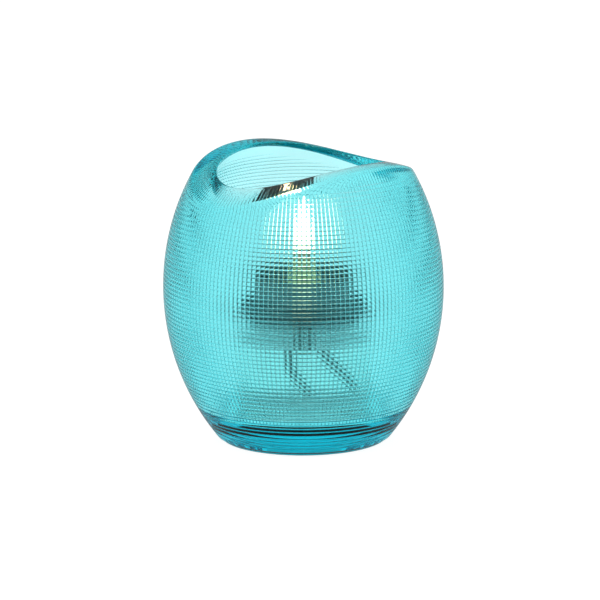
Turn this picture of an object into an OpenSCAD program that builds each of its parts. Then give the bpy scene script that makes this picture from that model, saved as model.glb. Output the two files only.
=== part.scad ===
// Glass jar lantern with a lift-out liquid-candle cell, standing on Z = 0.
// X runs through the two peaks of the wavy rim and Y through its two dips. All sizes are in millimetres.

/* [Glass jar] */
// Height of the rim at its two peaks
rim_peak_z = 115; // [100:0.5:150]
// How far the rim's outer edge dips between the peaks
rim_dip = 12.5; // [4:0.5:20]
// How far the line through the peaks lies to one side of the middle
rim_shift = 2; // [0:0.5:4]
// Height of the widest circle
belly_z = 61.5; // [50:0.5:74]
// How much the inside widens from the mouth to the belly, on the radius
belly_bulge = 18; // [10:0.5:24]
// Width of the jar where it meets its foot
foot_d = 67.5; // [56:0.5:84]
// Thickness of the glass wall
jar_wall = 7.7; // [4:0.1:9]
// Thickness of the solid glass under the inside
jar_floor = 14; // [5:0.5:18]
// Bevel round the foot
foot_bevel = 1; // [0.4:0.1:2]
// Depth of the hollow under the jar, which leaves a ring to stand on
punt_depth = 0.8; // [0.3:0.1:3]
// Width of the ring that the jar stands on
stand_ring = 6; // [3:0.5:12]
// Gap round the cell where it passes through the mouth
mouth_gap = 2.3; // [0.5:0.1:6]

/* [Fuel bottle] */
// Width of the bottle over its shoulder band
cell_d = 56; // [46:0.5:72]
// Height of the bottle up to its shoulder
bottle_h = 37.5; // [26:0.5:48]
// Height of the wider band below the shoulder
band_h = 9.5; // [4:0.5:14]
// How far the band stands out from the body
band_step = 1; // [0.3:0.1:2]
// Wall of the bottle
bottle_wall = 1.4; // [0.8:0.1:2.5]
// Bevel round the bottom of the bottle
bottle_bevel = 1.6; // [0.5:0.1:3]
// Outside of the neck, without its thread
neck_d = 32; // [26:0.5:40]
// Height of the neck above the shoulder
neck_h = 7.6; // [6.8:0.1:12]
// Wall of the neck
neck_wall = 2; // [1.4:0.1:3]
// Air left between the oil and the underside of the bottle's shoulder
oil_gap = 8.7; // [3:0.1:12]

/* [Thread] */
// Rise of the thread in one turn
thread_pitch = 3; // [2.6:0.1:3.4]
// How far the thread stands out from its wall
thread_depth = 1; // [0.6:0.1:1.2]
// Width of the thread's ridge where it leaves the wall
thread_root = 1.4; // [1:0.1:1.6]
// Width of the thread's ridge at its crest
thread_crest = 0.6; // [0.4:0.1:0.8]
// Gap between the crest of one thread and the wall of the other
thread_gap = 0.4; // [0.25:0.05:0.6]

/* [Cap] */
// Wall of the screw cap's skirt
skirt_wall = 1.8; // [1:0.1:3]
// Wall of the open cup above the deck
cup_wall = 1; // [0.6:0.1:1.6]
// Depth of the open cup above the deck
cup_depth = 5; // [3:0.5:10]
// Thickness of the deck that carries the burner
deck_t = 1; // [0.6:0.1:2]
// Rounded bead round the top of the cup
cup_bead = 0.6; // [0.3:0.1:0.8]
// Width of the vent hole in the deck
vent_d = 1.2; // [0.6:0.1:2]
// Thickness of the sealing liner under the deck
liner_t = 0.8; // [0.4:0.1:1.6]
// Width of the heat shield
shield_d = 49.5; // [44:0.5:56]
// Sheet that the heat shield is pressed from
shield_t = 0.8; // [0.4:0.1:1.2]
// Height of the heat shield's turned-up edge
shield_lip = 4; // [2:0.5:6]
// Gap between the cap's skirt and the heat shield under it
skirt_gap = 0.3; // [0.2:0.1:0.8]

/* [Burner] */
// Width of one wick cord
wick_d = 2.8; // [2:0.1:4]
// Gap between the pair of wick cords
wick_gap = 0.1; // [0.05:0.05:0.3]
// Gap between the wick cords and their tube
wick_play = 0.25; // [0.15:0.05:0.5]
// How far the wick stands out of its tube
wick_show = 2.5; // [1:0.5:6]
// Straight length of wick below the tube, which the wick needs to be drawn up
wick_spare = 4.5; // [4.2:0.1:7]
// Wall of the wick tube
tube_wall = 0.6; // [0.4:0.1:1.2]
// How far the wick tube stands above the deck
tube_rise = 13; // [10.5:0.5:20]
// How far the wick tube hangs below the deck
tube_drop = 11; // [7:0.5:13]
// Width of the burner cone at its foot
cone_d = 17; // [13:0.5:22]
// Height of the burner cone
cone_h = 9; // [5:0.5:10]
// Width of the burner cone at its top, outside the tube
cone_lip = 0.8; // [0.4:0.1:1.5]
// Size of the brass nut across its flats
nut_af = 12; // [10:0.5:16]
// Height of the brass nut
nut_h = 3; // [2:0.5:4]
// Thickness of each fibre washer
washer_t = 0.6; // [0.4:0.1:1]
// How far each fibre washer reaches past the tube
washer_w = 3; // [1.5:0.5:4]
// Gap between the tube and what is threaded on it
tube_fit = 0.05; // [0.02:0.01:0.1]

/* [Hidden] */
$fn = 96;
far = 200;
overlap = 0.4;

// The mouth passes the cell, and the belly follows from the mouth.
mouth_r = cell_d / 2 + mouth_gap;
belly_in_r = mouth_r + belly_bulge;
belly_r = belly_in_r + jar_wall;
upper_in_r = (pow(rim_peak_z - belly_z, 2) + pow(belly_bulge, 2)) / (2 * belly_bulge);
upper_r = upper_in_r + jar_wall;
foot_in = belly_r - foot_d / 2;
lower_r = (pow(belly_z, 2) + pow(foot_in, 2)) / (2 * foot_in);
dip_z = rim_peak_z - rim_dip;
dip_r = belly_r - upper_r + sqrt(pow(upper_r, 2) - pow(dip_z - belly_z, 2));
roof_r = (pow(dip_r, 2) + pow(rim_dip, 2)) / (2 * rim_dip);

// Heights of the cell, each from the one below it
bottle_z = jar_floor;
shoulder_z = bottle_z + bottle_h;
band_z = shoulder_z - band_h;
oil_floor_z = bottle_z + bottle_wall;
oil_top_z = shoulder_z - bottle_wall - oil_gap;
neck_top_z = shoulder_z + neck_h;
skirt_z = shoulder_z + shield_t + skirt_gap;
deck_z = neck_top_z + liner_t;
cup_z = deck_z + deck_t;
cup_top_z = cup_z + cup_depth;
tube_z = deck_z - tube_drop;
tube_top_z = cup_z + tube_rise;
wick_top_z = tube_top_z + wick_show;
tail_z = tube_z - wick_spare;

// Radii of the cell
cell_r = cell_d / 2;
body_r = cell_r - band_step;
neck_r = neck_d / 2;
neck_in_r = neck_r - neck_wall;
crest_r = neck_r + thread_depth;
skirt_in_r = crest_r + thread_gap;
cap_r = skirt_in_r + skirt_wall;
shield_in_r = crest_r + thread_gap;
wick_r = wick_d / 2;
wick_x = wick_r + wick_gap / 2;
tube_in_r = wick_x + wick_r + wick_play;
tube_r = tube_in_r + tube_wall;
washer_r = tube_r + washer_w;

// The cap's thread lies half a turn's rise below the neck's, so neither ridge touches the other.
thread_steps = 40;
neck_thread_z = skirt_z + thread_root / 2 + 0.1 + thread_pitch / 2;
cap_thread_z = neck_thread_z - thread_pitch / 2;

// The wick tails hang below the tube in one upright plane. Each point is [sideways, down], as shares of the
// oil's radius and of the height between the wicks' straight lengths and the bottle's floor.
left_tail = [[-0.08, 0.2], [-0.1, 0.38], [-0.06, 0.56], [0.04, 0.72], [0.12, 0.85]];
right_tail = [[0.1, 0.17], [0.19, 0.34], [0.3, 0.5], [0.42, 0.66], [0.53, 0.8]];
tail_turn = 50;

// The jar's side: an arc above the belly and an arc below it, both square to the belly's circle
module side_outline(inset, low) {
    intersection() {
        translate([belly_r - upper_r, belly_z]) circle(upper_r - inset);
        translate([0, belly_z]) square([far, rim_peak_z + overlap - belly_z]);
    }
    intersection() {
        translate([belly_r - lower_r, belly_z]) circle(lower_r - inset);
        translate([0, low]) square([far, belly_z - low]);
    }
}

// Everything above the rim, which is cut like a rounded roof: its ridge runs along X, and it falls away on both sides.
module above_rim() {
    difference() {
        translate([-far / 2, -far / 2, rim_peak_z - roof_r]) cube([far, far, roof_r + far]);
        translate([-far, rim_shift, rim_peak_z - roof_r]) rotate([0, 90, 0]) cylinder(h = 2 * far, r = roof_r);
    }
}

module glass_jar() {
    color("turquoise", 0.5)
    difference() {
        rotate_extrude()
            difference() {
                side_outline(0, 0);
                side_outline(jar_wall, jar_floor);
                translate([foot_d / 2 - foot_bevel, 0])
                    polygon([[0, -overlap], [far, -overlap], [far, foot_bevel + far], [0, 0]]);
                translate([0, -overlap]) square([foot_d / 2 - foot_bevel - stand_ring, punt_depth + overlap]);
            }
        above_rim();
    }
}

// One turn of thread from height z: root is the radius of the wall, side is 1 for a ridge outside it and -1 inside.
module thread(root, z, side) {
    function corner(i, r, dz) = let (a = 360 * i / thread_steps)
        [r * cos(a), r * sin(a), z + thread_pitch * i / thread_steps + dz];
    function section(i) = let (
            fade = min(1, min(i, thread_steps - i) / 4 + 0.25),
            sunk = root - side * overlap,
            crest = root + side * thread_depth * fade)
        [corner(i, sunk, -thread_root / 2), corner(i, crest, -thread_crest / 2),
         corner(i, crest, thread_crest / 2), corner(i, sunk, thread_root / 2)];
    points = [for (i = [0 : thread_steps]) each section(i)];
    last = 4 * thread_steps;
    walls = [for (i = [0 : thread_steps - 1], k = [0 : 3]) let (p = 4 * i + k, q = 4 * i + (k + 1) % 4)
        each [[p, p + 4, q + 4], [p, q + 4, q]]];
    ends = [[0, 1, 2], [0, 2, 3], [last, last + 2, last + 1], [last, last + 3, last + 2]];
    faces = concat(walls, ends);
    polyhedron(points, side < 0 ? faces : [for (f = faces) [f[0], f[2], f[1]]]);
}

// Outline of the bottle's inside, up to height top
module bottle_inside(top) {
    polygon([
        [0, oil_floor_z], [body_r - bottle_wall - bottle_bevel, oil_floor_z],
        [body_r - bottle_wall, oil_floor_z + bottle_bevel], [body_r - bottle_wall, top], [0, top]
    ]);
}

module fuel_bottle() {
    color("azure", 0.4)
    union() {
        rotate_extrude()
            difference() {
                union() {
                    polygon([
                        [0, bottle_z], [body_r - bottle_bevel, bottle_z], [body_r, bottle_z + bottle_bevel],
                        [body_r, band_z], [cell_r, band_z + band_step], [cell_r, shoulder_z - band_step],
                        [cell_r - band_step, shoulder_z], [0, shoulder_z]
                    ]);
                    translate([0, shoulder_z - overlap]) square([neck_r, neck_h + overlap]);
                }
                bottle_inside(shoulder_z - bottle_wall);
                translate([0, shoulder_z - 2 * bottle_wall]) square([neck_in_r, far]);
            }
        thread(neck_r, neck_thread_z, 1);
    }
}

module lamp_oil() {
    color("lightcyan", 0.4)
    difference() {
        rotate_extrude() bottle_inside(oil_top_z);
        wick(-1);
        wick(1);
    }
}

module heat_shield() {
    color("darkslategray")
    rotate_extrude()
        polygon([
            [shield_in_r, shoulder_z], [shield_d / 2, shoulder_z], [shield_d / 2, shoulder_z + shield_lip],
            [shield_d / 2 - shield_t, shoulder_z + shield_lip], [shield_d / 2 - shield_t, shoulder_z + shield_t],
            [shield_in_r, shoulder_z + shield_t]
        ]);
}

// A flat ring from z up
module ring(inner, outer, z, h) {
    difference() {
        translate([0, 0, z]) cylinder(h = h, r = outer);
        translate([0, 0, z - overlap]) cylinder(h = h + 2 * overlap, r = inner);
    }
}

module cap_liner() {
    color("white") ring(neck_in_r, neck_r, neck_top_z, liner_t);
}

module screw_cap() {
    color("dimgray")
    union() {
        difference() {
            translate([0, 0, skirt_z]) cylinder(h = cup_top_z - skirt_z, r = cap_r);
            translate([0, 0, skirt_z - overlap]) cylinder(h = deck_z - skirt_z + overlap, r = skirt_in_r);
            translate([0, 0, cup_z]) cylinder(h = cup_depth + overlap, r = cap_r - cup_wall);
            cylinder(h = far, r = tube_r + tube_fit);
            translate([0, (washer_r + neck_in_r) / 2, 0]) cylinder(h = far, d = vent_d);
        }
        rotate_extrude() translate([cap_r - cup_bead, cup_top_z]) circle(cup_bead, $fn = 24);
        thread(skirt_in_r, cap_thread_z, -1);
    }
}

module upper_washer() {
    color("tan") ring(tube_r + tube_fit, washer_r, cup_z, washer_t);
}

module lower_washer() {
    color("tan") ring(tube_r + tube_fit, washer_r, deck_z - washer_t, washer_t);
}

module wick_tube() {
    color("goldenrod") ring(tube_in_r, tube_r, tube_z, tube_top_z - tube_z);
}

module burner_cone() {
    foot = cup_z + washer_t;
    color("gold")
    difference() {
        translate([0, 0, foot]) cylinder(h = cone_h, r1 = cone_d / 2, r2 = tube_r + cone_lip);
        cylinder(h = far, r = tube_r + tube_fit);
    }
}

module burner_nut() {
    color("goldenrod")
    difference() {
        translate([0, 0, deck_z - washer_t - nut_h]) cylinder(h = nut_h, d = nut_af / cos(30), $fn = 6);
        cylinder(h = far, r = tube_r + tube_fit);
    }
}

// A straight length of cord from one [x, z] point to the next, with a ball that rounds the turn before it
module cord_length(from, to) {
    run = to - from;
    translate([from[0], 0, from[1]]) {
        sphere(wick_r + 0.02, $fn = 32);
        rotate([0, atan2(run[0], run[1]), 0]) cylinder(h = norm(run), r = wick_r);
    }
}

// One wick cord: straight through the tube, then its tail in the oil
module wick(side) {
    tail = side < 0 ? left_tail : right_tail;
    reach = body_r - bottle_wall;
    drop = tail_z - oil_floor_z;
    points = [[0, 0], for (p = tail) [p[0] * reach, -p[1] * drop]];
    rotate([0, 0, tail_turn])
        translate([side * wick_x, 0, tail_z]) {
            cylinder(h = wick_top_z - tail_z, r = wick_r);
            for (i = [1 : len(points) - 1]) cord_length(points[i - 1], points[i]);
        }
}

module wick_left() {
    color("ivory") wick(-1);
}

module wick_right() {
    color("ivory") wick(1);
}

glass_jar();
fuel_bottle();
lamp_oil();
heat_shield();
cap_liner();
screw_cap();
upper_washer();
lower_washer();
wick_tube();
burner_cone();
burner_nut();
wick_left();
wick_right();
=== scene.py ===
import bpy
import bmesh
import math
import numpy as np
from mathutils import Matrix, Vector


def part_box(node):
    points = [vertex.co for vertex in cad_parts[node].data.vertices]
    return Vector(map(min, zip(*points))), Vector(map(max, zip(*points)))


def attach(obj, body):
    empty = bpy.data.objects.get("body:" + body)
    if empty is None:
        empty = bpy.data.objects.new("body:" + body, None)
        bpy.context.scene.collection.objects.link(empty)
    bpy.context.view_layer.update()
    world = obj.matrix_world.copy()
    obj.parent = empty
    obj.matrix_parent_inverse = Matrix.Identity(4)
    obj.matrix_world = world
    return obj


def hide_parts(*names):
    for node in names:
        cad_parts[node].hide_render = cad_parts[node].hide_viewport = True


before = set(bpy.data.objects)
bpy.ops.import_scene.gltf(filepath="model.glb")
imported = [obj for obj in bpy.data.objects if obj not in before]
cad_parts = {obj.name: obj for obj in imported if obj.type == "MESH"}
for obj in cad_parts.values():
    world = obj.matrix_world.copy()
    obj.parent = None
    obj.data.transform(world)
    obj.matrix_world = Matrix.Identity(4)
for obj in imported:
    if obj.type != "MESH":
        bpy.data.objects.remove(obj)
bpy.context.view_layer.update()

mm = 0.001
tau = 2 * math.pi


# camera and light

cameraPlace = {
    "azimuth": 50.0,        # degrees round the lantern
    "elevation": 12.8,      # degrees above the table
    "roll": -0.3,           # degrees
    "distance": 2.5,        # metres, a long lens
    "frameWidth": 0.2395,   # metres of table seen across the picture
    "targetHeight": 0.0558,
    "targetShift": -0.0014, # sideways, so that the lantern stands a little right of the middle
    "sensorWidth": 36.0,    # mm
    "clipNear": 0.05,
    "clipFar": 50.0,
}


def addCamera():
    c = cameraPlace
    a, e = math.radians(c["azimuth"]), math.radians(c["elevation"])
    back = Vector((math.sin(a) * math.cos(e), -math.cos(a) * math.cos(e), math.sin(e)))
    side = Vector((math.cos(a), math.sin(a), 0))
    target = Vector((0, 0, c["targetHeight"])) + side * c["targetShift"]
    data = bpy.data.cameras.new("camera")
    camera = bpy.data.objects.new("camera", data)
    bpy.context.scene.collection.objects.link(camera)
    camera.location = target + back * c["distance"]
    level = back.to_track_quat("Z", "Y").to_matrix()
    camera.rotation_euler = (level @ Matrix.Rotation(math.radians(c["roll"]), 3, "Z")).to_euler()
    data.sensor_width = c["sensorWidth"]
    data.lens = c["sensorWidth"] * c["distance"] / c["frameWidth"]
    data.clip_start, data.clip_end = c["clipNear"], c["clipFar"]
    bpy.context.scene.camera = camera
    print("camera and lens set")


studio = {
    # height on the sky as a sine, and brightness there: a white sweep low down under a darker room
    "skyStops": ((0.0, 1.0), (0.4, 1.0), (0.75, 0.5), (1.0, 0.35)),
    "floorColour": (0.25, 0.25, 0.25),
    "floorRoughness": 0.7,
    "floorShine": 0.2,
    "floorGlow": 0.92,      # the sweep is lit from below
    "floorSize": 6.0,       # metres
    "mirrorShare": 0.25,    # how much of the sweep is seen in reflections
    "topPlace": (0.25, -0.5, 1.6),
    "topSize": 1.1,
    "topPower": 5.0,        # watts
    # light passes many faces of glass before it comes out again
    "bounces": 32,
    "glassBounces": 28,
    "clearBounces": 24,
}


def addTopLight():
    s = studio
    data = bpy.data.lights.new("topLight", "AREA")
    data.energy, data.size = s["topPower"], s["topSize"]
    lamp = bpy.data.objects.new("topLight", data)
    lamp.location = s["topPlace"]
    lamp.rotation_euler = Vector(s["topPlace"]).to_track_quat("Z", "Y").to_euler()
    bpy.context.scene.collection.objects.link(lamp)


def dimmedMirror(tree, full, share):
    # the sweep is at full strength, but weaker where it is only mirrored, as with dark cards round the set
    path = tree.nodes.new("ShaderNodeLightPath").outputs
    mirrored = mathNode(tree, "SUBTRACT", path["Is Reflection Ray"], path["Is Diffuse Ray"], clamp=True)
    return mathNode(tree, "SUBTRACT", full, mathNode(tree, "MULTIPLY", mirrored, full * (1 - share)))


def addStudio():
    s = studio
    world = bpy.data.worlds.new("studio")
    bpy.context.scene.world = world
    world.use_nodes = True
    tree = world.node_tree
    coords = tree.nodes.new("ShaderNodeTexCoord")
    split = tree.nodes.new("ShaderNodeSeparateXYZ")
    tree.links.new(coords.outputs["Generated"], split.inputs["Vector"])
    tree.links.new(ramp(tree, split.outputs["Z"], s["skyStops"]), tree.nodes["Background"].inputs["Color"])
    tree.links.new(dimmedMirror(tree, 1.0, s["mirrorShare"]), tree.nodes["Background"].inputs["Strength"])
    bpy.ops.mesh.primitive_plane_add(size=s["floorSize"], location=(0, 0, 0))
    floor = bpy.context.object
    floor.name = "floor"
    material, tree, shader = newMaterial("floorSweep")
    setValues(shader, Base_Color=s["floorColour"], Roughness=s["floorRoughness"],
              Specular_IOR_Level=s["floorShine"], Emission_Color=(1, 1, 1))
    tree.links.new(dimmedMirror(tree, s["floorGlow"], s["mirrorShare"]), shader.inputs["Emission Strength"])
    floor.data.materials.append(material)
    addTopLight()
    scene = bpy.context.scene
    scene.view_settings.view_transform = "Standard"
    scene.cycles.max_bounces = s["bounces"]
    scene.cycles.transmission_bounces = s["glassBounces"]
    scene.cycles.transparent_max_bounces = s["clearBounces"]
    print("studio lit")


# material tools

def newMaterial(name):
    material = bpy.data.materials.new(name)
    material.use_nodes = True
    return material, material.node_tree, material.node_tree.nodes["Principled BSDF"]


def setMaterial(thing, material):
    thing.data.materials.clear()
    thing.data.materials.append(material)


def setValues(shader, **values):
    for name, value in values.items():
        value = (*value, 1) if hasattr(value, "__len__") else value
        shader.inputs[name.replace("_", " ")].default_value = value


def newGroup(name, inputs, outputs):
    # a shader node group with named number inputs and named outputs
    group = bpy.data.node_groups.new(name, "ShaderNodeTree")
    for label, kind, value in inputs:
        socket = group.interface.new_socket(label, in_out="INPUT", socket_type=kind)
        if value is not None:
            socket.default_value = value
    for label, kind in outputs:
        group.interface.new_socket(label, in_out="OUTPUT", socket_type=kind)
    return group, group.nodes.new("NodeGroupInput"), group.nodes.new("NodeGroupOutput")


def useGroup(tree, group, **values):
    node = tree.nodes.new("ShaderNodeGroup")
    node.node_tree = group
    for name, value in values.items():
        node.inputs[name].default_value = value
    return node


def mathNode(tree, operation, a, b=None, clamp=False):
    node = tree.nodes.new("ShaderNodeMath")
    node.operation = operation
    node.use_clamp = clamp
    for socket, value in zip(node.inputs, (a, b)):
        if value is None:
            continue
        if hasattr(value, "is_output"):
            tree.links.new(value, socket)
        else:
            socket.default_value = value
    return node.outputs[0]


def objectCoords(tree):
    return tree.nodes.new("ShaderNodeTexCoord").outputs["Object"]


def noise(tree, scale, detail=3.0, roughness=0.55, stretch=None):
    # noise on object coordinates, with its scale in features per metre
    node = tree.nodes.new("ShaderNodeTexNoise")
    node.inputs["Detail"].default_value = detail
    node.inputs["Roughness"].default_value = roughness
    place = objectCoords(tree)
    if stretch:
        mapping = tree.nodes.new("ShaderNodeMapping")
        mapping.inputs["Scale"].default_value = stretch
        tree.links.new(place, mapping.inputs["Vector"])
        place = mapping.outputs["Vector"]
    tree.links.new(place, node.inputs["Vector"])
    if hasattr(scale, "is_output"):
        tree.links.new(scale, node.inputs["Scale"])
    else:
        node.inputs["Scale"].default_value = scale
    return node.outputs["Fac"]


def ramp(tree, value, stops):
    # stops are (position, colour or grey)
    node = tree.nodes.new("ShaderNodeValToRGB")
    while len(node.color_ramp.elements) < len(stops):
        node.color_ramp.elements.new(0.5)
    for element, (position, colour) in zip(node.color_ramp.elements, stops):
        element.position = position
        element.color = (*colour, 1) if hasattr(colour, "__len__") else (colour, colour, colour, 1)
    tree.links.new(value, node.inputs["Fac"])
    return node.outputs["Color"]


def mixColour(tree, mask, first, second, blend="MIX"):
    node = tree.nodes.new("ShaderNodeMix")
    node.data_type = "RGBA"
    node.blend_type = blend
    for socket, value in ((node.inputs[0], mask), (node.inputs[6], first), (node.inputs[7], second)):
        if hasattr(value, "is_output"):
            tree.links.new(value, socket)
        else:
            socket.default_value = (*value, 1) if hasattr(value, "__len__") else value
    return node.outputs[2]


def makeGrain():
    # a fine even grain: its height for a bump, and a cloudy mask for roughness
    group, inside, outside = newGroup(
        "fineGrain",
        [("Scale", "NodeSocketFloat", 900.0), ("Strength", "NodeSocketFloat", 0.2),
         ("Depth", "NodeSocketFloat", 0.0001)],
        [("Normal", "NodeSocketVector"), ("Mask", "NodeSocketFloat")],
    )
    grain = noise(group, inside.outputs["Scale"], 5.0, 0.6)
    bump = group.nodes.new("ShaderNodeBump")
    group.links.new(inside.outputs["Strength"], bump.inputs["Strength"])
    group.links.new(inside.outputs["Depth"], bump.inputs["Distance"])
    group.links.new(grain, bump.inputs["Height"])
    group.links.new(bump.outputs["Normal"], outside.inputs["Normal"])
    group.links.new(grain, outside.inputs["Mask"])
    return group


def makeTurnedLines():
    # fine rings left by a lathe or a press: by distance from the middle line and by height
    group, inside, outside = newGroup(
        "turnedLines",
        [("Pitch", "NodeSocketFloat", 9000.0), ("Strength", "NodeSocketFloat", 0.15),
         ("Depth", "NodeSocketFloat", 0.00005)],
        [("Normal", "NodeSocketVector"), ("Lines", "NodeSocketFloat")],
    )
    split = group.nodes.new("ShaderNodeSeparateXYZ")
    group.links.new(objectCoords(group), split.inputs[0])
    xx = mathNode(group, "MULTIPLY", split.outputs[0], split.outputs[0])
    yy = mathNode(group, "MULTIPLY", split.outputs[1], split.outputs[1])
    reach = mathNode(group, "SQRT", mathNode(group, "ADD", xx, yy))
    run = mathNode(group, "MULTIPLY", mathNode(group, "ADD", reach, split.outputs[2]), inside.outputs["Pitch"])
    line = group.nodes.new("ShaderNodeTexNoise")
    line.noise_dimensions = "1D"
    line.inputs["Detail"].default_value = 4.0
    line.inputs["Scale"].default_value = 1.0
    group.links.new(run, line.inputs["W"])
    bump = group.nodes.new("ShaderNodeBump")
    group.links.new(inside.outputs["Strength"], bump.inputs["Strength"])
    group.links.new(inside.outputs["Depth"], bump.inputs["Distance"])
    group.links.new(line.outputs["Fac"], bump.inputs["Height"])
    group.links.new(bump.outputs["Normal"], outside.inputs["Normal"])
    group.links.new(line.outputs["Fac"], outside.inputs["Lines"])
    return group


def makeEdgeWear():
    # a mask of rubbed edges, broken up by noise
    breakup, sharpness = 0.08, 14.0
    group, inside, outside = newGroup(
        "edgeWear",
        [("Width", "NodeSocketFloat", 0.54), ("Breakup", "NodeSocketFloat", 400.0)],
        [("Mask", "NodeSocketFloat")],
    )
    point = group.nodes.new("ShaderNodeNewGeometry").outputs["Pointiness"]
    cloud = mathNode(group, "SUBTRACT", noise(group, inside.outputs["Breakup"]), 0.5)
    broken = mathNode(group, "MULTIPLY", cloud, breakup)
    edge = mathNode(group, "SUBTRACT", mathNode(group, "ADD", point, broken), inside.outputs["Width"])
    group.links.new(mathNode(group, "MULTIPLY", edge, sharpness, clamp=True), outside.inputs["Mask"])
    return group


def makeSoot():
    # a mask that is full above one height and gone below another, with a ragged edge
    group, inside, outside = newGroup(
        "sootCloud",
        [("Low", "NodeSocketFloat", 0.06), ("High", "NodeSocketFloat", 0.07),
         ("Ragged", "NodeSocketFloat", 0.003)],
        [("Mask", "NodeSocketFloat")],
    )
    split = group.nodes.new("ShaderNodeSeparateXYZ")
    group.links.new(objectCoords(group), split.inputs[0])
    cloud = mathNode(group, "SUBTRACT", noise(group, 500.0), 0.5)
    rough = mathNode(group, "MULTIPLY", cloud, inside.outputs["Ragged"])
    height = mathNode(group, "SUBTRACT", mathNode(group, "ADD", split.outputs[2], rough), inside.outputs["Low"])
    span = mathNode(group, "SUBTRACT", inside.outputs["High"], inside.outputs["Low"])
    group.links.new(mathNode(group, "DIVIDE", height, span, clamp=True), outside.inputs["Mask"])
    return group


fineGrain, turnedLines, edgeWear, sootCloud = makeGrain(), makeTurnedLines(), makeEdgeWear(), makeSoot()


# modelling tools

mergeReach = 0.002          # mm within which points are one
smoothAngle = 40            # degrees up to which faces are shaded as one


def startFresh():
    if bpy.context.mode != "OBJECT":
        bpy.ops.object.mode_set(mode="OBJECT")
    bpy.ops.object.select_all(action="DESELECT")


def applyPlace(piece):
    startFresh()
    piece.select_set(True)
    bpy.context.view_layer.objects.active = piece
    bpy.ops.object.transform_apply(location=True, rotation=True, scale=True)


def useModifier(piece, kind, **settings):
    startFresh()
    piece.select_set(True)
    bpy.context.view_layer.objects.active = piece
    modifier = piece.modifiers.new(kind.lower(), kind)
    for name, value in settings.items():
        setattr(modifier, name, value)
    bpy.ops.object.modifier_apply(modifier=modifier.name)


def tidyFaces(piece, holes=False):
    startFresh()
    piece.select_set(True)
    bpy.context.view_layer.objects.active = piece
    bpy.ops.object.mode_set(mode="EDIT")
    bpy.ops.mesh.select_all(action="SELECT")
    bpy.ops.mesh.remove_doubles(threshold=mergeReach * mm)
    if holes:
        bpy.ops.mesh.fill_holes(sides=0)
        bpy.ops.mesh.select_all(action="SELECT")
    bpy.ops.mesh.normals_make_consistent(inside=False)
    bpy.ops.object.mode_set(mode="OBJECT")


def turnPiece(name, outline, columns=96, loop=True):
    # a ring is drawn up and scaled from one [radius, height] of the outline to the next, as on a lathe
    startFresh()
    radius, height = outline[0]
    bpy.ops.mesh.primitive_circle_add(vertices=columns, radius=radius * mm, location=(0, 0, height * mm))
    piece = bpy.context.object
    piece.name = piece.data.name = name
    applyPlace(piece)
    bpy.ops.object.mode_set(mode="EDIT")
    bpy.ops.mesh.select_mode(type="EDGE")
    bpy.ops.mesh.select_all(action="SELECT")
    for nextRadius, nextHeight in list(outline[1:]) + ([outline[0]] if loop else []):
        bpy.ops.mesh.extrude_edges_move(TRANSFORM_OT_translate={"value": (0, 0, (nextHeight - height) * mm)})
        ratio = nextRadius / radius
        bpy.ops.transform.resize(value=(ratio, ratio, 1), center_override=(0, 0, nextHeight * mm))
        radius, height = nextRadius, nextHeight
    tidyFaces(piece, holes=not loop)
    return piece


def roundEdges(piece, width, segments=2, angle=28):
    useModifier(piece, "BEVEL", width=width * mm, segments=segments, limit_method="ANGLE",
                angle_limit=math.radians(angle), harden_normals=False)
    piece.select_set(True)
    bpy.context.view_layer.objects.active = piece
    bpy.ops.object.shade_smooth_by_angle(angle=math.radians(smoothAngle))


def cutAway(piece, tool, operation="DIFFERENCE"):
    useModifier(piece, "BOOLEAN", object=tool, operation=operation, solver="EXACT")
    bpy.data.objects.remove(tool, do_unlink=True)


def rod(radius, low, high, place=(0, 0), columns=48):
    startFresh()
    bpy.ops.mesh.primitive_cylinder_add(vertices=columns, radius=radius * mm, depth=(high - low) * mm,
                                        location=(place[0] * mm, place[1] * mm, (low + high) / 2 * mm))
    tool = bpy.context.object
    applyPlace(tool)
    return tool


def threadRidge(wallRadius, height, side):
    # one turn of a trapezoid ridge, screwed up by the thread's pitch
    t = threadShape
    startFresh()
    bpy.ops.mesh.primitive_plane_add(size=2 * mm, location=((wallRadius + side * 0.3) * mm, 0, height * mm),
                                     rotation=(math.pi / 2, 0, 0))
    ridge = bpy.context.object
    applyPlace(ridge)
    bpy.ops.object.mode_set(mode="EDIT")
    form = bmesh.from_edit_mesh(ridge.data)
    for point in form.verts:
        outer = (point.co.x / mm - wallRadius) * side > 0
        up = 1 if point.co.z / mm > height else -1
        point.co.x = (wallRadius + side * (t["depth"] if outer else -t["sunk"])) * mm
        point.co.z = (height + up * (t["crest"] if outer else t["root"]) / 2) * mm
    bmesh.update_edit_mesh(ridge.data)
    bpy.ops.mesh.select_all(action="SELECT")
    bpy.ops.mesh.delete(type="ONLY_FACE")
    bpy.ops.object.mode_set(mode="OBJECT")
    useModifier(ridge, "SCREW", axis="Z", angle=tau, screw_offset=t["pitch"] * mm,
                steps=t["steps"], render_steps=t["steps"])
    tidyFaces(ridge, holes=True)
    return ridge


def finishPiece(piece, material, body, nodes=()):
    setMaterial(piece, material)
    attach(piece, body)
    if nodes:
        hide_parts(*nodes)
    print(piece.name, "done:", len(piece.data.vertices), "points")


# glass jar

glassLook = {
    "absorbColour": (0.0, 0.915, 0.955),
    "absorbDensity": 88.0,
    "reflectTint": (0.4, 0.93, 0.97),
    "ripple": 30.0,         # features per metre of the glass's own slow ripple
    "rippleStrength": 0.5,
    "rippleDepth": 0.00006,
}


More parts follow.
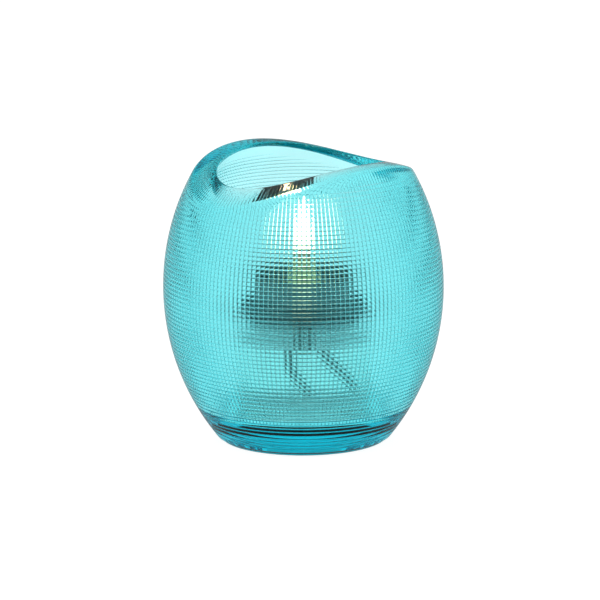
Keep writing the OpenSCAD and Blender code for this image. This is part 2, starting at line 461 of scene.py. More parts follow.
def turquoiseGlass():
    g = glassLook
    material, tree, shader = newMaterial("turquoiseGlass")
    setValues(shader, Base_Color=(1, 1, 1), Transmission_Weight=1.0, Roughness=0.0, IOR=1.5,
              Specular_Tint=g["reflectTint"])
    ripple = useGroup(tree, fineGrain, Scale=g["ripple"], Strength=g["rippleStrength"],
                      Depth=g["rippleDepth"])
    tree.links.new(ripple.outputs["Normal"], shader.inputs["Normal"])
    absorb = tree.nodes.new("ShaderNodeVolumeAbsorption")
    absorb.inputs["Color"].default_value = (*g["absorbColour"], 1)
    absorb.inputs["Density"].default_value = g["absorbDensity"]
    tree.links.new(absorb.outputs["Volume"], tree.nodes["Material Output"].inputs["Volume"])
    return material


jarShape = {
    "flutes": 168,          # upright lines cut inside
    "fluteDepth": 0.20,     # mm
    "ribPitch": 1.66,       # mm between the level lines outside
    "ribDepth": 0.36,       # mm
    "footRibs": 0.5,        # share of that depth on the solid foot
    "firstRib": 0.6,        # mm above the foot's bevel
    "ribFade": 2.2,         # ribs over which the depth fades towards the plain band
    "lineSteps": (0.0, 0.08, 0.18, 0.82, 0.92),     # places across one line, as shares of its pitch
    "lineDepths": (1.0, 0.35, 0.0, 0.0, 0.35),      # how deep the cut is there
    "plainBand": 3.6,       # mm of plain glass below the rim
    "rimRound": 1.3,        # mm radius of the fire-polished edges
    "rimRows": 5,
    "crownRows": 6,
    "rimCrown": 0.18,       # mm
    "waveSteps": 60,        # steps of the search for the rim's height
    "wall": 7.7,            # mm
    "mouthGap": 2.3,        # mm between mouth and cell
    "floorThickness": 14.0, # mm
    "dip": 12.5,            # mm between the rim's peaks and dips
    "crestShift": 2.0,      # mm sideways
    "bellyHeight": 61.5,    # mm
    "footWidth": 67.5,      # mm
    "footBevel": 1.0,
    "standRing": 6.0,       # mm wide, with the shallow hollow inside it
    "punt": 0.8,            # mm, depth of the hollow
    "puntCentre": 8.0,
    "plainInside": 6.0,     # mm below the rim before the upright lines are full depth
    "floorRound": 4.5,      # mm radius of the corner round the inside floor
    "cornerRows": 6,
    "cornerSpread": 1.15,
    "floorStep": 1.2,       # mm, where the flutes' fine mesh meets the floor's plain one
    "floorRings": (22, 12, 4),
    "innerRows": 26,
}


def jarSide(j, top, bellyR):
    # the jar's side is two arcs: this gives the radius at a height, so far inside the outer face
    bulge = bellyR - j["wall"] - j["mouthR"]
    upper = ((top - j["bellyHeight"]) ** 2 + bulge ** 2) / (2 * bulge) + j["wall"]
    footIn = bellyR - j["footWidth"] / 2
    lower = (j["bellyHeight"] ** 2 + footIn ** 2) / (2 * footIn)

    def radius(z, inset):
        dz = np.asarray(z, float) - j["bellyHeight"]
        arc = np.where(dz > 0, upper, lower)
        return bellyR - arc + np.sqrt(np.maximum((arc - inset) ** 2 - dz ** 2, 0))

    return radius


def bezier(start, corner, end, t):
    return (1 - t) ** 2 * start + 2 * t * (1 - t) * corner + t ** 2 * end


class RingMesh:
    # rings of points round Z, joined by faces, written as one mesh

    def __init__(self):
        self.points, self.faces = [], []

    def ring(self, radius, height, angles):
        start = sum(len(p) for p in self.points)
        flat = np.broadcast_to(height, angles.shape)
        self.points.append(np.column_stack([radius * np.cos(angles), radius * np.sin(angles), flat]))
        return list(range(start, start + len(angles)))

    def join(self, first, second):
        # facing outwards when the second ring is above the first on an outside wall
        n = len(first)
        self.faces.extend((first[i], first[(i + 1) % n], second[(i + 1) % n], second[i]) for i in range(n))

    def fan(self, coarse, fine, flip):
        # one column of the coarse ring meets several of the fine one
        k, n = len(fine) // len(coarse), len(coarse)
        for i in range(n):
            a, b = coarse[i], coarse[(i + 1) % n]
            f = [fine[(k * i + s) % len(fine)] for s in range(k + 1)]
            half = k // 2
            made = [(a, f[s + 1], f[s]) for s in range(half)]
            made.append((a, b, f[half]))
            made += [(b, f[s + 1], f[s]) for s in range(half, k)]
            self.faces.extend(tuple(reversed(face)) if flip else face for face in made)

    def cap(self, ring, height, flip):
        centre = self.ring(0, height, np.zeros(1))[0]
        n = len(ring)
        made = [(ring[i], ring[(i + 1) % n], centre) for i in range(n)]
        self.faces.extend(tuple(reversed(face)) if flip else face for face in made)

    def build(self, name):
        mesh = bpy.data.meshes.new(name)
        mesh.from_pydata((np.vstack(self.points) * mm).tolist(), [], self.faces)
        mesh.validate()
        piece = bpy.data.objects.new(name, mesh)
        bpy.context.scene.collection.objects.link(piece)
        mesh.shade_smooth()
        return piece


def buildJar():
    j = dict(jarShape)
    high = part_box("glass_jar")[1]
    top, bellyR = high.z / mm, high.x / mm
    j["mouthR"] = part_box("fuel_bottle")[1].x / mm + j["mouthGap"]
    radius = jarSide(j, top, bellyR)
    dipR = float(radius(top - j["dip"], 0))
    roof = (dipR ** 2 + j["dip"] ** 2) / (2 * j["dip"])
    form = RingMesh()
    steps, depths = np.array(j["lineSteps"]), np.array(j["lineDepths"])
    outAngles = np.arange(j["flutes"]) * tau / j["flutes"]

    def edgeHeight(inset):
        # height where the wavy rim, cut like a round roof, meets a wall of the jar
        z = np.full(len(outAngles), top)
        for _ in range(j["waveSteps"]):
            y = radius(z, inset) * np.sin(outAngles) - j["crestShift"]
            z = 0.5 * z + 0.5 * (top - roof + np.sqrt(roof ** 2 - y ** 2))
        return z

    # outside: level lines up to the plain band, which follows the wave of the rim
    outEdge, inEdge = edgeHeight(0), edgeHeight(j["wall"])
    bandFoot = outEdge - j["plainBand"]
    ceiling = outEdge - j["rimRound"]
    lastLevel = top - j["rimRound"]
    startZ = j["footBevel"] + j["firstRib"]
    previous = None
    ribs = int((lastLevel - startZ) / j["ribPitch"])
    for rib in range(ribs):
        for share, depth in zip(steps, depths):
            z = startZ + (rib + share) * j["ribPitch"]
            # rows above the foot of the plain band are drawn together inside the band
            squeeze = bandFoot + (z - bandFoot) * (ceiling - bandFoot) / (lastLevel - bandFoot)
            height = np.where(z <= bandFoot, z, squeeze)
            fade = np.clip((bandFoot - height) / (j["ribFade"] * j["ribPitch"]), 0, 1)
            fade *= np.clip((height - startZ) / 2, 0, 1)
            fade *= np.interp(height, (j["floorThickness"] - 1, j["floorThickness"] + 2), (j["footRibs"], 1))
            ring = form.ring(radius(height, 0) - j["ribDepth"] * depth * fade, height, outAngles)
            if previous:
                form.join(previous, ring)
            else:
                outerFoot = ring
            previous = ring

    # rim: two rounded edges and the gently crowned face between them
    e = j["rimRound"]
    rOut, rIn = radius(outEdge, 0), radius(inEdge, j["wall"])
    span = np.hypot(rIn - rOut, inEdge - outEdge)
    faceX, faceZ = (rIn - rOut) / span, (inEdge - outEdge) / span
    rows = []
    for s in np.linspace(0, 1, j["rimRows"] + 1):
        rows.append((bezier(radius(outEdge - e, 0), rOut, rOut + faceX * e, s),
                     bezier(outEdge - e, outEdge, outEdge + faceZ * e, s)))
    for s in np.linspace(0, 1, j["crownRows"] + 2)[1:-1]:
        run = e + (span - 2 * e) * s
        rows.append((rOut + faceX * run, outEdge + faceZ * run + j["rimCrown"] * math.sin(math.pi * s)))
    for s in np.linspace(0, 1, j["rimRows"] + 1):
        rows.append((bezier(rIn - faceX * e, rIn, radius(inEdge - e, j["wall"]), s),
                     bezier(inEdge - faceZ * e, inEdge, inEdge - e, s)))
    for r, z in rows:
        ring = form.ring(r, z, outAngles)
        form.join(previous, ring)
        previous = ring

    # inside: upright lines from just below the rim down to the floor
    inAngles = ((np.arange(j["flutes"])[:, None] + steps[None, :]) * tau / j["flutes"]).ravel()
    cut = np.tile(depths, j["flutes"]) * j["fluteDepth"]
    topIn = np.interp(inAngles, np.append(outAngles, tau), np.append(inEdge, inEdge[0])) - e - 0.5
    floorZ, corner = j["floorThickness"], j["floorRound"]
    first = True
    for t in np.linspace(0, 1, j["innerRows"] + 1):
        z = topIn + (floorZ + corner - topIn) * t
        fade = np.clip((topIn - z) / j["plainInside"] * 2 - 1, 0, 1)
        ring = form.ring(radius(z, j["wall"]) + cut * fade, z, inAngles)
        if first:
            form.fan(previous, ring, False)
            first = False
        else:
            form.join(previous, ring)
        previous = ring

    # rounded corner and floor
    wallR = float(radius(floorZ + corner, j["wall"]))
    last = j["cornerRows"]
    for s in range(1, last + 1):
        turn = math.pi / 2 * s / last
        r = wallR - corner * (1 - math.cos(turn)) * j["cornerSpread"]
        ring = form.ring(r + cut * (1 - s / last), floorZ + corner * (1 - math.sin(turn)), inAngles)
        form.join(previous, ring)
        previous = ring
    coarse = form.ring(r - j["floorStep"], floorZ, outAngles)
    form.fan(coarse, previous, True)
    previous = coarse
    for r in j["floorRings"]:
        ring = form.ring(r, floorZ, outAngles)
        form.join(previous, ring)
        previous = ring
    form.cap(previous, floorZ, False)

    # foot: bevel, ring to stand on and the shallow hollow
    footR = j["footWidth"] / 2
    hollowR = footR - j["footBevel"] - j["standRing"]
    previous = outerFoot
    for r, z in ((footR, 1.0), (footR - 0.3, 0.5), (footR - 0.75, 0.12), (footR - 1.3, 0.0),
                 (hollowR + 0.6, 0.0), (hollowR, 0.2), (hollowR - 1, j["punt"] * 0.9),
                 (hollowR - 3, j["punt"]), (j["puntCentre"], j["punt"])):
        ring = form.ring(r, z, outAngles)
        form.join(ring, previous)
        previous = ring
    form.cap(previous, j["punt"], True)
    jar = form.build("glassJar")
    useModifier(jar, "WEIGHTED_NORMAL", mode="FACE_AREA", weight=100)
    print("jar:", sum(len(f.vertices) - 2 for f in jar.data.polygons), "triangles")
    finishPiece(jar, turquoiseGlass(), "jar", ["glass_jar"])


# fuel bottle and oil

threadShape = {"depth": 1.0, "sunk": 0.4, "root": 1.4, "crest": 0.6, "pitch": 3.0, "steps": 60}

bottleShape = {
    "bandHeight": 9.5,      # mm, the wider band below the shoulder
    "bandStep": 1.0,
    "bottomBevel": 1.6,
    "wall": 1.4,
    "neckRadius": 16.0,
    "neckWall": 2.0,
    "neckHeight": 7.6,
    "threadHeight": 54.9,
    "edge": 0.4,
    "colour": (0.97, 0.99, 0.99),
    "haze": 0.05,           # roughness where the glass is cloudiest
}


def clearBottle():
    material, tree, shader = newMaterial("clearBottle")
    setValues(shader, Base_Color=bottleShape["colour"], Transmission_Weight=1.0, IOR=1.5)
    ripple = useGroup(tree, fineGrain, Scale=90.0, Strength=0.3, Depth=0.00005)
    tree.links.new(ripple.outputs["Normal"], shader.inputs["Normal"])
    haze = mathNode(tree, "MULTIPLY", ripple.outputs["Mask"], bottleShape["haze"])
    tree.links.new(haze, shader.inputs["Roughness"])
    return material


def buildBottle():
    b = bottleShape
    low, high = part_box("fuel_bottle")
    floorZ, neckTop, bandR = low.z / mm, high.z / mm, high.x / mm
    bodyR, shoulder = bandR - b["bandStep"], neckTop - b["neckHeight"]
    bandFoot = shoulder - b["bandHeight"]
    innerR, neckIn = bodyR - b["wall"], b["neckRadius"] - b["neckWall"]
    bottle = turnPiece("fuelBottle", [
        (bodyR - b["bottomBevel"], floorZ), (bodyR, floorZ + b["bottomBevel"]), (bodyR, bandFoot),
        (bandR, bandFoot + b["bandStep"]), (bandR, shoulder - b["bandStep"]), (bodyR, shoulder),
        (b["neckRadius"], shoulder), (b["neckRadius"], neckTop), (neckIn, neckTop),
        (neckIn, shoulder - b["wall"]), (innerR, shoulder - b["wall"]),
        (innerR, floorZ + b["wall"] + b["bottomBevel"]),
        (innerR - b["bottomBevel"], floorZ + b["wall"]),
    ], loop=False)
    roundEdges(bottle, b["edge"], segments=3)
    cutAway(bottle, threadRidge(b["neckRadius"], b["threadHeight"], 1), "UNION")
    finishPiece(bottle, clearBottle(), "cell", ["fuel_bottle"])


oilShape = {
    "wet": 0.05,            # mm that it reaches into the glass, so that no gap shows
    "climb": 0.7,           # mm up the wall at its edge
    "colour": (0.98, 0.99, 0.97),
    "absorbColour": (0.8, 0.93, 0.9),
    "absorbDensity": 4.0,
}


def lampOil():
    material, tree, shader = newMaterial("lampOil")
    setValues(shader, Base_Color=oilShape["colour"], Transmission_Weight=1.0, Roughness=0.0, IOR=1.44)
    ripple = useGroup(tree, fineGrain, Scale=25.0, Strength=0.15, Depth=0.00005)
    tree.links.new(ripple.outputs["Normal"], shader.inputs["Normal"])
    absorb = tree.nodes.new("ShaderNodeVolumeAbsorption")
    absorb.inputs["Color"].default_value = (*oilShape["absorbColour"], 1)
    absorb.inputs["Density"].default_value = oilShape["absorbDensity"]
    tree.links.new(absorb.outputs["Volume"], tree.nodes["Material Output"].inputs["Volume"])
    return material


def buildOil():
    wet, climb = oilShape["wet"], oilShape["climb"]
    low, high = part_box("lamp_oil")
    floorZ, topZ, r = low.z / mm, high.z / mm, high.x / mm
    bevel = bottleShape["bottomBevel"]
    oil = turnPiece("lampOil", [
        (r - bevel, floorZ - wet), (r + wet, floorZ + bevel), (r + wet, topZ + climb),
        (r - 0.3, topZ + 0.35 * climb), (r - 0.9, topZ + 0.08 * climb), (r - 1.8, topZ),
    ], loop=False)
    roundEdges(oil, 0.2, angle=50)
    finishPiece(oil, lampOil(), "cell", ["lamp_oil"])


# heat shield and screw cap

shieldShape = {
    "thickness": 0.8,       # mm
    "foldRound": 0.35,
    "bead": 0.5,
    "overlap": 1.8,         # mm that it reaches in under the cap
    "edge": 0.25,
    "darkColour": (0.035, 0.05, 0.05),
    "paleColour": (0.07, 0.09, 0.09),
    "wornColour": (0.3, 0.31, 0.31),
}


def darkSteel():
    material, tree, shader = newMaterial("darkSteel")
    lines = useGroup(tree, turnedLines, Pitch=7000.0, Strength=0.25)
    wear = useGroup(tree, edgeWear, Width=0.55)
    s = shieldShape
    base = ramp(tree, noise(tree, 120.0, 4.0), [(0.35, s["darkColour"]), (0.65, s["paleColour"])])
    tree.links.new(mixColour(tree, wear.outputs["Mask"], base, s["wornColour"]), shader.inputs["Base Color"])
    tree.links.new(ramp(tree, lines.outputs["Lines"], [(0.3, 0.32), (0.7, 0.5)]), shader.inputs["Roughness"])
    tree.links.new(lines.outputs["Normal"], shader.inputs["Normal"])
    setValues(shader, Metallic=0.85)
    return material


def buildShield():
    s = shieldShape
    low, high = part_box("heat_shield")
    r, z, topZ = high.x / mm, low.z / mm, high.z / mm
    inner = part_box("screw_cap")[1].x / mm - s["overlap"]
    t, bead = s["thickness"], s["bead"]
    shield = turnPiece("heatShield", [
        (inner, z), (r - 3.4, z), (r - 3.0, z + 0.3), (r - 2.0, z + 0.3), (r - 1.6, z), (r - s["foldRound"], z),
        (r, z + s["foldRound"]), (r, topZ - 0.2), (r - 0.25, topZ), (r - t, topZ), (r - t - 0.15, topZ - bead),
        (r - t, topZ - 2 * bead), (r - t, z + t + s["foldRound"]), (r - t - s["foldRound"], z + t),
        (r - 1.8, z + t), (r - 2.2, z + t + 0.3), (r - 3.2, z + t + 0.3), (r - 3.6, z + t), (inner, z + t),
    ], columns=120)
    roundEdges(shield, s["edge"], angle=35)
    finishPiece(shield, darkSteel(), "cell", ["heat_shield"])


capShape = {
    "skirtWall": 1.8,       # mm
    "cupWall": 1.0,
    "cupDepth": 5.0,
    "deck": 1.0,
    "bead": 0.6,
    "holeGap": 0.05,
    "ventWidth": 1.2,
    "ventPlace": 10.35,
    "threadHeight": 53.4,
    "edge": 0.25,
    "darkColour": (0.13, 0.145, 0.14),
    "paleColour": (0.2, 0.215, 0.21),
    "wornColour": (0.45, 0.46, 0.45),
    "sootColour": (0.12, 0.1, 0.08),
    "sootShare": 0.5,
}


def capSteel():
    c = capShape
    material, tree, shader = newMaterial("capSteel")
    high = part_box("screw_cap")[1]
    lines = useGroup(tree, turnedLines, Pitch=9000.0, Strength=0.22)
    wear = useGroup(tree, edgeWear, Width=0.55)
    soot = useGroup(tree, sootCloud, Low=high.z - 3.5 * mm, High=high.z + 1.5 * mm, Ragged=0.006)
    base = ramp(tree, noise(tree, 150.0, 4.0), [(0.3, c["darkColour"]), (0.7, c["paleColour"])])
    worn = mixColour(tree, wear.outputs["Mask"], base, c["wornColour"])
    dark = mathNode(tree, "MULTIPLY", soot.outputs["Mask"], c["sootShare"])
    tree.links.new(mixColour(tree, dark, worn, c["sootColour"]), shader.inputs["Base Color"])
    tree.links.new(ramp(tree, lines.outputs["Lines"], [(0.3, 0.28), (0.7, 0.42)]), shader.inputs["Roughness"])
    tree.links.new(lines.outputs["Normal"], shader.inputs["Normal"])
    setValues(shader, Metallic=1.0)
    return material


def buildCap():
    c = capShape
    low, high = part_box("screw_cap")
    r, z, cupTop = high.x / mm, low.z / mm, high.z / mm - c["bead"]
    skirtIn = r - c["skirtWall"]
    cupIn, cupFloor = r - c["cupWall"], cupTop - c["cupDepth"]
    deckZ = cupFloor - c["deck"]
    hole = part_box("wick_tube")[1].x / mm + c["holeGap"]
    b = c["bead"]
    bead = [(r - b + b * math.cos(a), cupTop + b * math.sin(a)) for a in np.linspace(0, math.pi, 9)]
    cap = turnPiece("screwCap", [
        (skirtIn, z), (r, z), (r, z + 1.6), (r - 0.25, z + 1.8), (r - 0.25, z + 2.2), (r, z + 2.4),
        (r, cupFloor - 0.6), (r - 0.2, cupFloor - 0.3), (r - 0.2, cupFloor + 0.1), (r, cupFloor + 0.4),
        *bead[:-1], (cupIn - 0.2, cupTop), (cupIn, cupTop - 0.5),
        (cupIn, cupFloor + 0.7), (cupIn - 0.7, cupFloor),
        (13.2, cupFloor), (12.8, cupFloor + 0.15), (12.2, cupFloor + 0.15), (11.8, cupFloor),
        (hole, cupFloor), (hole, deckZ), (skirtIn, deckZ),
    ], columns=120)
    roundEdges(cap, c["edge"], angle=40)
    cutAway(cap, threadRidge(skirtIn, c["threadHeight"], -1), "UNION")
    cutAway(cap, rod(c["ventWidth"] / 2, deckZ - 1, cupFloor + 1, (0, c["ventPlace"]), 24))
    finishPiece(cap, capSteel(), "cap", ["screw_cap"])


# burner

burnerShape = {
    "coneLip": 0.8,         # mm
    "coneFoot": 1.1,
    "coneSteps": (0.25, 0.5, 0.75, 1.0),
    "tubeWall": 0.6,
    "fit": 0.05,
    "tubeRoll": 0.25,
    "nutFlats": 12.0,
    "nutChamfer": 0.5,
    "darkColour": (0.72, 0.46, 0.2),
    "paleColour": (0.86, 0.62, 0.32),
    "wornColour": (0.95, 0.78, 0.48),
    "heatColour": (0.3, 0.14, 0.07),
    "heatShare": 0.7,
}


def brass(name, tinted):
    # lacquered brass, browned by the heat of the flame where tinted
    b = burnerShape
    material, tree, shader = newMaterial(name)
    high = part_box("wick_tube")[1]
    lines = useGroup(tree, turnedLines, Pitch=12000.0, Strength=0.2)
    wear = useGroup(tree, edgeWear, Width=0.56)
    base = ramp(tree, noise(tree, 220.0, 4.0), [(0.3, b["darkColour"]), (0.7, b["paleColour"])])
    worn = mixColour(tree, wear.outputs["Mask"], base, b["wornColour"])
    if tinted:
        heat = useGroup(tree, sootCloud, Low=high.z - 9 * mm, High=high.z + 2 * mm, Ragged=0.004)
        browned = mathNode(tree, "MULTIPLY", heat.outputs["Mask"], b["heatShare"])
        worn = mixColour(tree, browned, worn, b["heatColour"])
    tree.links.new(worn, shader.inputs["Base Color"])
    tree.links.new(ramp(tree, lines.outputs["Lines"], [(0.3, 0.25), (0.7, 0.4)]), shader.inputs["Roughness"])
    tree.links.new(lines.outputs["Normal"], shader.inputs["Normal"])
    setValues(shader, Metallic=1.0)
    return material


def buildBurner():
    b = burnerShape
    tinted = brass("heatedBrass", True)
    low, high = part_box("wick_tube")
    r, z, topZ = high.x / mm, low.z / mm, high.z / mm
    tubeIn, roll = r - b["tubeWall"], b["tubeRoll"]
    tube = turnPiece("wickTube", [
        (tubeIn, z), (r, z), (r, z + 1.2), (r - 0.12, z + 1.4), (r - 0.12, z + 1.7), (r, z + 1.9),
        (r, topZ - 1.6), (r - 0.12, topZ - 1.4), (r - 0.12, topZ - 1.1), (r, topZ - 0.9),
        (r, topZ - roll), (r - 0.3, topZ), (tubeIn + 0.1, topZ), (tubeIn, topZ - 0.15),
    ], columns=64)
    roundEdges(tube, 0.08, angle=40)
    finishPiece(tube, tinted, "cap", ["wick_tube"])

    low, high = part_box("burner_cone")
    foot, z, topZ = high.x / mm, low.z / mm, high.z / mm
    bore, tip = r + b["fit"], r + b["coneLip"]
    f = b["coneFoot"]
    flank = [(foot - 0.9 - (foot - 1.2 - tip) * s ** 0.8, z + f + 0.9 + (topZ - z - f - 1.9) * s)
             for s in b["coneSteps"]]
    cone = turnPiece("burnerCone", [
        (bore, z), (foot, z), (foot, z + f), (foot - 0.7, z + f + 0.25), (foot - 0.9, z + f + 0.9),
        *flank, (tip + 0.25, topZ - 0.8), (tip + 0.25, topZ - 0.25), (tip, topZ),
        (bore + 0.15, topZ), (bore, topZ - 0.2),
    ], columns=96)
    roundEdges(cone, 0.15, angle=35)
    finishPiece(cone, tinted, "cap", ["burner_cone"])

    low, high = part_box("burner_nut")
    flats, corners = b["nutFlats"] / 2, b["nutFlats"] / 2 / math.cos(math.pi / 6)
    startFresh()
    bpy.ops.mesh.primitive_cylinder_add(vertices=6, radius=corners * mm,
                                        depth=high.z - low.z, location=(0, 0, (low.z + high.z) / 2),
                                        rotation=(0, 0, math.pi / 6))
    nut = bpy.context.object
    nut.name = nut.data.name = "burnerNut"
    applyPlace(nut)
    # the corners are turned away at both ends, as on a bought nut
    chamfer = turnPiece("chamfer", [
        (flats, low.z / mm - 0.01), (corners + 0.1, low.z / mm + b["nutChamfer"]),
        (corners + 0.1, high.z / mm - b["nutChamfer"]), (flats, high.z / mm + 0.01),
    ], loop=False)
    cutAway(nut, chamfer, "INTERSECT")
    cutAway(nut, rod(bore, low.z / mm - 1, high.z / mm + 1, columns=64))
    roundEdges(nut, 0.12, angle=40)
    finishPiece(nut, brass("nutBrass", False), "cap", ["burner_nut"])


# washers and seal, which keep their own CAD shapes

washerLook = {
    "darkColour": (0.3, 0.17, 0.09),
    "colour": (0.46, 0.29, 0.16),
    "paleColour": (0.58, 0.4, 0.24),
    "hairs": (900, 3200, 900),  # features per metre each way
}


def fibreBoard():
    material, tree, shader = newMaterial("fibreBoard")
    grain = useGroup(tree, fineGrain, Scale=1800.0, Strength=0.6, Depth=0.00008)
    w = washerLook
    hairs = noise(tree, 1.0, 4.0, 0.7, stretch=w["hairs"])
    colour = ramp(tree, hairs, [(0.3, w["darkColour"]), (0.55, w["colour"]), (0.75, w["paleColour"])])
    tree.links.new(colour, shader.inputs["Base Color"])
    tree.links.new(ramp(tree, grain.outputs["Mask"], [(0.3, 0.65), (0.7, 0.85)]), shader.inputs["Roughness"])
    tree.links.new(grain.outputs["Normal"], shader.inputs["Normal"])
    return material


sealLook = {"darkColour": (0.74, 0.73, 0.68), "paleColour": (0.85, 0.85, 0.82)}


def whiteSeal():
    material, tree, shader = newMaterial("whiteSeal")
    grain = useGroup(tree, fineGrain, Scale=2600.0, Strength=0.5, Depth=0.00006)
    cloud = noise(tree, 260.0, 4.0)
    colour = ramp(tree, cloud, [(0.35, sealLook["darkColour"]), (0.7, sealLook["paleColour"])])
    tree.links.new(colour, shader.inputs["Base Color"])
    tree.links.new(ramp(tree, grain.outputs["Mask"], [(0.3, 0.5), (0.7, 0.7)]), shader.inputs["Roughness"])
    tree.links.new(grain.outputs["Normal"], shader.inputs["Normal"])
    return material


def dressWashers():
    fibre = fibreBoard()
    for name in ("upper_washer", "lower_washer"):
        setMaterial(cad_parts[name], fibre)
    setMaterial(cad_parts["cap_liner"], whiteSeal())
    print("washers and seal dressed")


# wicks

wickShape = {
    "diameter": 2.8,        # mm
    "gap": 0.1,             # mm between the two cords
    "turn": 50.0,           # degrees, the upright plane of the tails
    "spare": 4.5,           # mm of straight cord below the tube
    "leftTail": ((-0.08, 0.2), (-0.1, 0.38), (-0.06, 0.56), (0.04, 0.72), (0.12, 0.85)),
    "rightTail": ((0.1, 0.17), (0.19, 0.34), (0.3, 0.5), (0.42, 0.66), (0.53, 0.8)),
    "strands": 8,           # strands each way round the braid
    "plait": 5.2,           # mm along the cord in which a strand goes once round
    "strandDepth": 0.22,    # mm
    "endTaper": 0.35,
    "taperLength": 0.7,     # mm
    "columns": 64,
    "rowLength": 0.22,      # mm
    "wetColours": ((0.05, 0.075, 0.065), (0.1, 0.13, 0.115)),
    "dryColours": ((0.5, 0.47, 0.4), (0.66, 0.63, 0.55)),
    "sootColour": (0.012, 0.011, 0.01),
}


def wickFibre():
    # braided fibre: sooted in the flame, pale in the tube and darkened where the oil soaks it
    material, tree, shader = newMaterial("wickFibre")
    tubeTop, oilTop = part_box("wick_tube")[1].z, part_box("lamp_oil")[1].z
    grain = useGroup(tree, fineGrain, Scale=4200.0, Strength=0.7, Depth=0.0001)
    soot = useGroup(tree, sootCloud, Low=tubeTop - 0.4 * mm, High=tubeTop + 1.4 * mm, Ragged=0.0016)
    dry = useGroup(tree, sootCloud, Low=oilTop - 1 * mm, High=oilTop + 6 * mm, Ragged=0.003)
    wet, pale = [ramp(tree, noise(tree, 1500.0, 4.0), list(zip((0.3, 0.7), wickShape[kind])))
                 for kind in ("wetColours", "dryColours")]
    cord = mixColour(tree, dry.outputs["Mask"], wet, pale)
    charred = mixColour(tree, soot.outputs["Mask"], cord, wickShape["sootColour"])
    tree.links.new(charred, shader.inputs["Base Color"])
    tree.links.new(ramp(tree, grain.outputs["Mask"], [(0.3, 0.75), (0.7, 0.95)]), shader.inputs["Roughness"])
    tree.links.new(grain.outputs["Normal"], shader.inputs["Normal"])
    setValues(shader, Sheen_Weight=0.3, Sheen_Roughness=0.5)
    return material


def smoothRoute(points, step):
    # an even row of points along a smooth curve through the given ones
    p = np.array([2 * points[0] - points[1], *points, 2 * points[-1] - points[-2]])
    fine = []
    for i in range(1, len(p) - 2):
        a, b, c, d = p[i - 1], p[i], p[i + 1], p[i + 2]
        for t in np.linspace(0, 1, 24, endpoint=False):
            fine.append(0.5 * (2 * b + (c - a) * t + (2 * a - 5 * b + 4 * c - d) * t ** 2
                               + (3 * b - a - 3 * c + d) * t ** 3))
    fine.append(p[-2])
    fine = np.array(fine)
    run = np.append(0, np.cumsum(np.linalg.norm(np.diff(fine, axis=0), axis=1)))
    count = int(run[-1] / step)
    even = np.linspace(0, run[-1], count + 1)
    return np.column_stack([np.interp(even, run, fine[:, k]) for k in range(3)]), even


def buildWick(name, node, side, tail, material):
    w = wickShape
    turn = math.radians(w["turn"])
    across = np.array([math.cos(turn), math.sin(turn), 0])
    out = np.array([-math.sin(turn), math.cos(turn), 0])
    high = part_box(node)[1]
    oilLow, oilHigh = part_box("lamp_oil")
    r = w["diameter"] / 2
    offset = side * (r + w["gap"] / 2)
    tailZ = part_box("wick_tube")[0].z / mm - w["spare"]
    drop = tailZ - oilLow.z / mm
    reach = oilHigh.x / mm
    topZ = high.z / mm

    def place(u, z):
        return across * u + np.array([0, 0, z])

    stops = [place(offset, z) for z in np.linspace(topZ, tailZ, 7)]
    stops += [place(offset + u * reach, tailZ - d * drop) for u, d in tail]
    route, run = smoothRoute(stops, w["rowLength"])
    along = np.gradient(route, axis=0)
    along /= np.linalg.norm(along, axis=1)[:, None]
    flat = np.cross(along, out)

    # two families of strands wind opposite ways and pass over and under each other
    theta = np.arange(w["columns"]) * tau / w["columns"]
    form = RingMesh()
    start, previous = 0, None
    for i, s in enumerate(run):
        one = w["strands"] * (theta / tau + s / w["plait"] / 2)
        two = w["strands"] * (theta / tau - s / w["plait"] / 2)
        lift = 0.5 + 0.5 * np.cos(math.pi * (one + two)) * np.cos(math.pi * (one - two))
        bulge = np.maximum(np.abs(np.sin(math.pi * one)) * (0.4 + 0.6 * lift),
                           np.abs(np.sin(math.pi * two)) * (1 - 0.6 * lift))
        ends = min(s, run[-1] - s)
        taper = 1 - w["endTaper"] * max(0, 1 - ends / w["taperLength"]) ** 2
        radius = (r - w["strandDepth"] * (1 - bulge)) * taper
        ring = route[i] + radius[:, None] * (np.cos(theta)[:, None] * flat[i] + np.sin(theta)[:, None] * out)
        form.points.append(ring)
        ids = list(range(start, start + len(theta)))
        start += len(theta)
        if previous:
            form.join(ids, previous)
        previous = ids
    first = list(range(len(theta)))
    for ids, middle, flip in ((first, route[0], False), (previous, route[-1], True)):
        form.points.append(middle[None, :])
        n = len(ids)
        made = [(ids[k], ids[(k + 1) % n], start) for k in range(n)]
        form.faces.extend((b, a, c) if flip else (a, b, c) for a, b, c in made)
        start += 1
    wick = form.build(name)
    tidyFaces(wick)
    wick.data.shade_smooth()
    finishPiece(wick, material, "wick", [node])
    print(name, "is", round(float(run[-1]), 1), "mm long")


def buildWicks():
    fibre = wickFibre()
    buildWick("wickLeft", "wick_left", -1, wickShape["leftTail"], fibre)
    buildWick("wickRight", "wick_right", 1, wickShape["rightTail"], fibre)


# flame

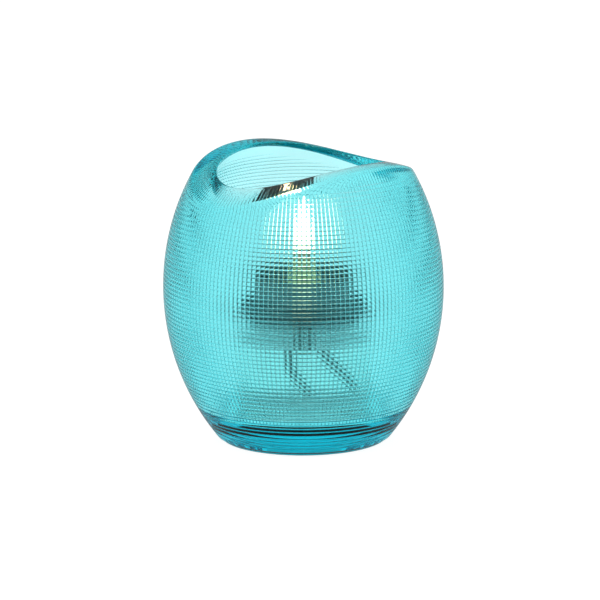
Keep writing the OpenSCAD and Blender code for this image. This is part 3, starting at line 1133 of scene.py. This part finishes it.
flameShape = {
    "foot": -1.4,           # mm below the wick's top
    # [radius, height above the foot] in mm
    "outline": ((1.2, 0.0), (2.6, 0.7), (3.6, 1.9), (4.3, 3.8), (4.5, 6.2), (4.2, 9.0), (3.5, 12.0),
                (2.6, 15.2), (1.6, 18.4), (0.7, 21.2), (0.15, 22.8)),
    "strength": 7.0,
    "colour": (0.9, 0.75, 0.5),
    "glowHeight": 24.0,     # mm over which the colours below run
    "glowColours": ((0.0, (0.1, 0.12, 0.25)), (0.12, (0.8, 0.4, 0.15)), (0.3, (1.0, 0.72, 0.42)),
                    (0.65, (1.0, 0.86, 0.62)), (1.0, (1.0, 0.6, 0.25))),
    "lickStretch": (120, 120, 30),
    "lickShare": 0.16,
}


def flameGlow():
    material, tree, shader = newMaterial("flameGlow")
    f = flameShape
    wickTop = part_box("wick_left")[1].z
    split = tree.nodes.new("ShaderNodeSeparateXYZ")
    tree.links.new(objectCoords(tree), split.inputs[0])
    rise = mathNode(tree, "SUBTRACT", split.outputs[2], wickTop + f["foot"] * mm)
    rise = mathNode(tree, "DIVIDE", rise, f["glowHeight"] * mm, clamp=True)
    cloud = mathNode(tree, "SUBTRACT", noise(tree, 1.0, 2.0, stretch=f["lickStretch"]), 0.5)
    licks = mathNode(tree, "MULTIPLY", cloud, f["lickShare"])
    colour = ramp(tree, mathNode(tree, "ADD", rise, licks, clamp=True), f["glowColours"])
    tree.links.new(colour, shader.inputs["Emission Color"])
    setValues(shader, Base_Color=f["colour"], Roughness=1.0, Emission_Strength=f["strength"],
              Specular_IOR_Level=0.0)
    return material


def buildFlame():
    f = flameShape
    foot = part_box("wick_left")[1].z / mm + f["foot"]
    flame = turnPiece("flame", [(r, foot + z) for r, z in f["outline"]], columns=40, loop=False)
    useModifier(flame, "SUBSURF", levels=1, render_levels=1)
    flame.data.shade_smooth()
    finishPiece(flame, flameGlow(), "wick")


bpy.ops.object.select_all(action="DESELECT")
addCamera()
addStudio()
buildWicks()
buildJar()
buildBottle()
buildOil()
buildShield()
buildCap()
buildBurner()
dressWashers()
buildFlame()
